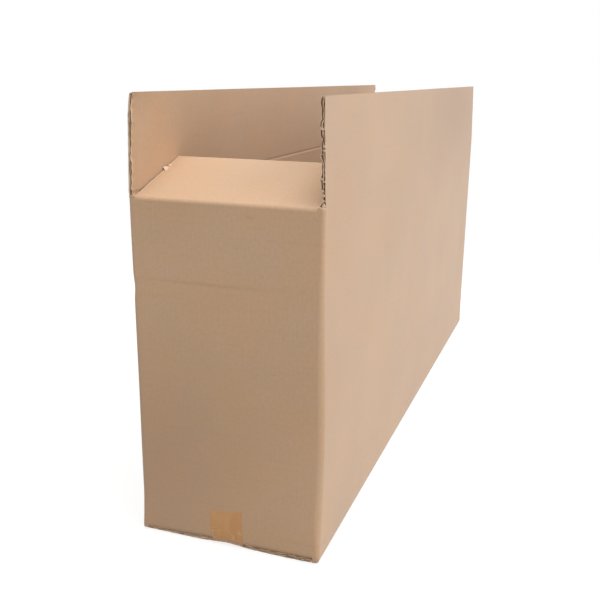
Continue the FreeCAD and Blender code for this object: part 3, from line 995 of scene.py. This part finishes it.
def torn_bits(panel, wall_part, free):
    """Slivers of torn liner at a flap's cut ends, the largest ones listed one by one."""
    if panel == "near":
        return [
            curled_liner(free - 0.0012, wall_part + 0.0830, 0.0120, 0.0058, 0.0026, 3),
            curled_liner(free - 0.0016, wall_part + 0.0950, 0.0060, 0.0034, 0.0012, 8),
        ]
    bits = []
    if panel == "left":
        for above, length, high, seed in (
            (0.112, 0.026, 0.0024, 21), (0.086, 0.024, 0.0021, 22), (0.062, 0.027, 0.0026, 23),
            (0.036, 0.024, 0.0020, 24), (0.010, 0.028, 0.0023, 25),
        ):
            bits.append((-free, wall_part + above, length, 0.0004, high, 0.0006, seed))
    if panel == "right":
        for above, length, low, high, proud, seed in (
            (0.0900, 0.0034, 0.0066, 0.0014, 0.0008, 1),
            (0.0690, 0.0026, 0.0006, 0.0032, 0.0006, 3),
            (0.0640, 0.0022, 0.0004, 0.0036, 0.0007, 4),
            (0.0600, 0.0026, 0.0062, 0.0036, 0.0005, 5),
            (0.0310, 0.0034, 0.0064, 0.0024, 0.0007, 6),
            (0.0275, 0.0024, 0.0004, 0.0030, 0.0006, 7),
            (0.0170, 0.0030, 0.0062, 0.0026, 0.0007, 8),
            (0.0110, 0.0034, 0.0006, 0.0040, 0.0006, 9),
            (0.0035, 0.0060, 0.0052, 0.0012, 0.0008, 10),
            (-0.0015, 0.0050, 0.0006, 0.0048, 0.0009, 11),
        ):
            bits.append((free, wall_part + above, length, low, high, proud, seed))
    dice = np.random.default_rng(len(panel))
    end = -free if panel == "right" else free
    for place in np.arange(0.010, FLAP_DEPTH - 0.006, 0.017):
        low, high = (0.0004, 0.0034) if dice.random() < 0.5 else (0.0060, 0.0030)
        bits.append((
            end, wall_part + place + dice.uniform(-0.006, 0.006), dice.uniform(0.002, 0.004),
            low, high, 0.0004, int(dice.integers(1000)),
        ))
    return bits


# For each top flap: half its width at the wall and past the crease, the height of its crease, how
# far it turns in and over what length, its shape, columns and rows, where its cuts begin, a seed
# for its tears, how rough and how flat its two ends are, and how deep its crease is outside
for (
    panel, root, free, crease, turn, bend, shape, columns, rows, opens, seed, tear, pinch, score
) in (
    ("near", END_ROOT_EDGE, END_FLAP_BASE, END_CREASE, END_FLAP_TURN, 0.0018, shape_end,
     60, 84, 0.001, 500, (1, 1), (0.2, 0.2), -0.05),
    ("far", END_ROOT_EDGE, END_FLAP_BASE, END_CREASE, END_FLAP_TURN, 0.0018, shape_end,
     60, 84, 0.001, 600, (1, 1), (0.2, 0.2), -0.05),
    ("left", SIDE_ROOT_EDGE, END - 0.0015, SIDE_CREASE, LEFT_LEAN, 0.0030, shape_left,
     110, 64, -0.006, 700, (0.5, 1), (crushed_left, 0.15), 0.0),
    ("right", SIDE_ROOT_EDGE, RAW_EDGE, SIDE_CREASE, RIGHT_LEAN, 0.0030, shape_right,
     110, 64, -0.006, 800, (1, 1), (0.15, crushed_shut), 0.0),
):
    wall_part = crease - WALL_TOP
    depth = wall_part + FLAP_DEPTH
    board, faces = cut_board(2 * root, depth, columns, rows, flute_rows=11)
    flap = fold_board(
        f"flap_{panel}", board, faces, torn_bits(panel, wall_part, free), panel, 1, crease,
        wall_part, turn, bend, shape, root, free, opens, seed, tear, pinch, score,
    )
    start, end = hinge_ends(panel, crease, turn)
    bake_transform(flap)
    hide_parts(f"top_flap_{panel}")


# STAGE
# A plain white floor, soft daylight from the front right and above, and the camera at the
# photograph's place, worked out from the carton's edges.

FLOOR_COLOUR = (0.45, 0.45, 0.45, 1)
SHADOW_COLOUR = (0.24, 0.24, 0.24, 1)
WHITE = (1, 1, 1, 1)
FLOOR_HALF = 30.0
FLOOR_DROP = -0.0005


def seen_rays(bench):
    """1 on rays that should find the plain white background: seen, mirrored or let through."""
    camera, mirrored, through = [
        bench.node("ShaderNodeLightPath", {}, {}, output=name)
        for name in ("Is Camera Ray", "Is Glossy Ray", "Is Transmission Ray")
    ]
    return camera.larger(mirrored.larger(through))


def white_floor():
    """Pale floor. The camera sees it white with the carton's soft shadow, all white far off."""
    material, bench = new_material("white_floor")
    paint = bench.node("ShaderNodeBsdfDiffuse", {}, {"Color": FLOOR_COLOUR})
    shadow = bench.node("ShaderNodeBsdfDiffuse", {}, {"Color": SHADOW_COLOUR})
    lifted = bench.node("ShaderNodeEmission", {}, {"Color": WHITE, "Strength": 0.80})
    near = bench.node("ShaderNodeAddShader", {}, {0: shadow, 1: lifted})
    white = bench.node("ShaderNodeEmission", {}, {"Color": WHITE, "Strength": 1.0})
    place = bench.node("ShaderNodeTexCoord", {}, {}, output=3)
    distance = bench.node("ShaderNodeVectorMath", {"operation": "LENGTH"}, {0: place}, output=1)
    seen_floor = bench.node(
        "ShaderNodeMixShader", {}, {0: bench.spread(distance, 0.9, 1.9), 1: near, 2: white}
    )
    floor_look = bench.node(
        "ShaderNodeMixShader", {}, {0: seen_rays(bench), 1: paint, 2: seen_floor}
    )
    bench.node("ShaderNodeOutputMaterial", {}, {"Surface": floor_look})
    return material


floor_mesh = bpy.data.meshes.new("studio_floor")
floor_corners = [
    (x * FLOOR_HALF, y * FLOOR_HALF, FLOOR_DROP) for x, y in ((-1, -1), (1, -1), (1, 1), (-1, 1))
]
floor_mesh.from_pydata(floor_corners, [], [(0, 1, 2, 3)])
floor_mesh.materials.append(white_floor())
studio_floor = bpy.data.objects.new("studio_floor", floor_mesh)
bpy.context.scene.collection.objects.link(studio_floor)

SKY_TOWARDS = (0.68, 0.00, 0.73)
SKY_DIM = 0.18
SKY_BRIGHT = 1.16
scene = bpy.context.scene
scene.view_settings.view_transform = "Standard"
world = bpy.data.worlds.new("studio")
world.use_nodes = True
world.node_tree.nodes.clear()
sky = Bench(world.node_tree)
direction = sky.node("ShaderNodeTexCoord", {}, {}, output=0)
toward_light = sky.node(
    "ShaderNodeVectorMath", {"operation": "DOT_PRODUCT"}, {0: direction, 1: SKY_TOWARDS}, output=1
)
sky_light = sky.spread(toward_light, -0.6, 1.0) * (SKY_BRIGHT - SKY_DIM) + SKY_DIM
ambient = sky.node("ShaderNodeBackground", {}, {"Color": WHITE, "Strength": sky_light})
backdrop = sky.node("ShaderNodeBackground", {}, {"Color": WHITE, "Strength": 1.0})
shown = sky.node("ShaderNodeMixShader", {}, {0: seen_rays(sky), 1: ambient, 2: backdrop})
sky.node("ShaderNodeOutputWorld", {}, {"Surface": shown})
scene.world = world


def look_along(direction):
    """A turn whose -Z points along a direction, with +Y as near up as it can be."""
    forward = np.array(direction) / np.linalg.norm(direction)
    right = np.cross(forward, (0, 0, 1))
    right = right / np.linalg.norm(right)
    upward = np.cross(right, forward)
    return Matrix(np.column_stack((right, upward, -forward)).tolist()).to_4x4()


def soft_lamp(name, place, target, size, power):
    """A square lamp of a size in metres and a power in watts, facing a point."""
    lamp = bpy.data.lights.new(name, "AREA")
    lamp.shape = "SQUARE"
    lamp.size = size
    lamp.energy = power
    stand = bpy.data.objects.new(name, lamp)
    scene.collection.objects.link(stand)
    aim = (np.array(target) - np.array(place)).tolist()
    stand.matrix_world = Matrix.Translation(place) @ look_along(aim)


soft_lamp("overhead", (0.4, -0.35, 4.2), (0, -0.2, 0.3), 2.6, 81)
soft_lamp("window", (3.9, -1.0, 3.5), (0.1, -0.2, 0.3), 2.4, 42.5)

CAMERA_PLACE = (0.4316, -0.9224 - END, 0.6446)
CAMERA_YAW = math.radians(-19.53)
CAMERA_PITCH = math.radians(15.52)
CAMERA_ROLL = math.radians(0.66)
FOCAL_PIXELS = 810.2
PICTURE_PIXELS = 600
camera_data = bpy.data.cameras.new("camera")
camera_data.sensor_width = 36
camera_data.lens = FOCAL_PIXELS / PICTURE_PIXELS * camera_data.sensor_width
camera = bpy.data.objects.new("camera", camera_data)
scene.collection.objects.link(camera)
looking = (
    math.sin(CAMERA_YAW) * math.cos(CAMERA_PITCH),
    math.cos(CAMERA_YAW) * math.cos(CAMERA_PITCH),
    -math.sin(CAMERA_PITCH),
)
camera.matrix_world = (
    Matrix.Translation(CAMERA_PLACE)
    @ look_along(looking)
    @ Matrix.Rotation(CAMERA_ROLL, 4, "Z")
)
scene.camera = camera
